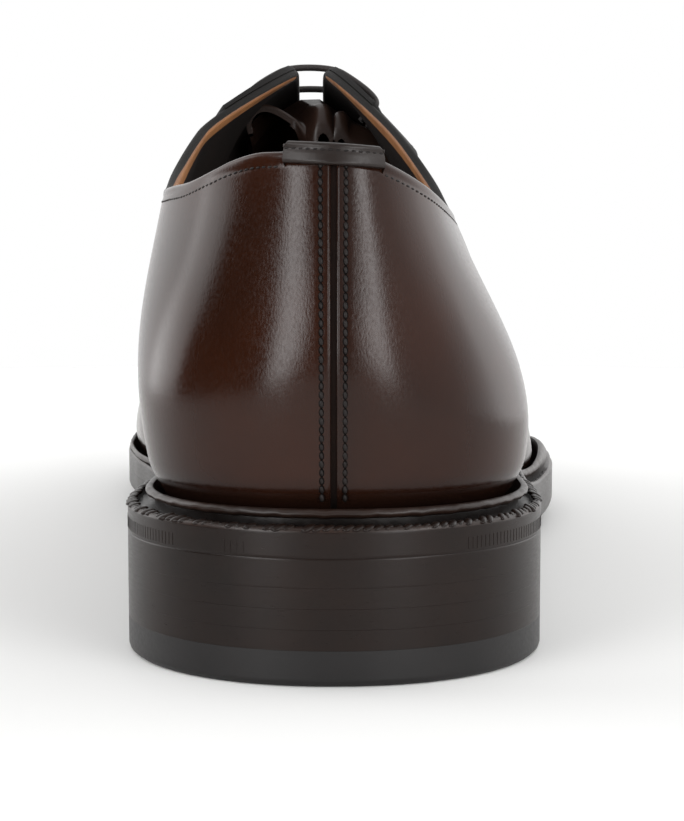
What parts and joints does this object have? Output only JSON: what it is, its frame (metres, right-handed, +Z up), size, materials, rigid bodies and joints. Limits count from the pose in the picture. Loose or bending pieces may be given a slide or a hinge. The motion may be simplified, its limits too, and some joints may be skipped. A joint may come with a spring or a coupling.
{
  "type": "dress shoe",
  "caption": "Right laced derby dress shoe in dark brown polished calf, with a storm welt, stacked leather heel and rubber top piece.",
  "frame": {"origin": "on the floor, under the middle of the sole's length and width", "axes": "+X to the little-toe side of this right shoe, +Y from the heel to the toe, +Z up"},
  "size_m": [0.1123, 0.306, 0.1094],
  "materials": {
    "calf": "polished",
    "sole_leather": "waxed edge",
    "rubber": "matte",
    "insole_leather": "natural",
    "cotton": "waxed"
  },
  "bodies": {
    "root": {"upper": "calf", "eyestay_medial": "calf", "eyestay_lateral": "calf", "tongue": "calf", "heel_tab": "calf", "welt": "sole_leather", "outsole": "sole_leather", "heel_lift_1": "sole_leather", "heel_lift_2": "sole_leather", "heel_lift_3": "sole_leather", "top_piece": "rubber", "insole": "insole_leather", "lace": "cotton"}
  },
  "joints": []
}
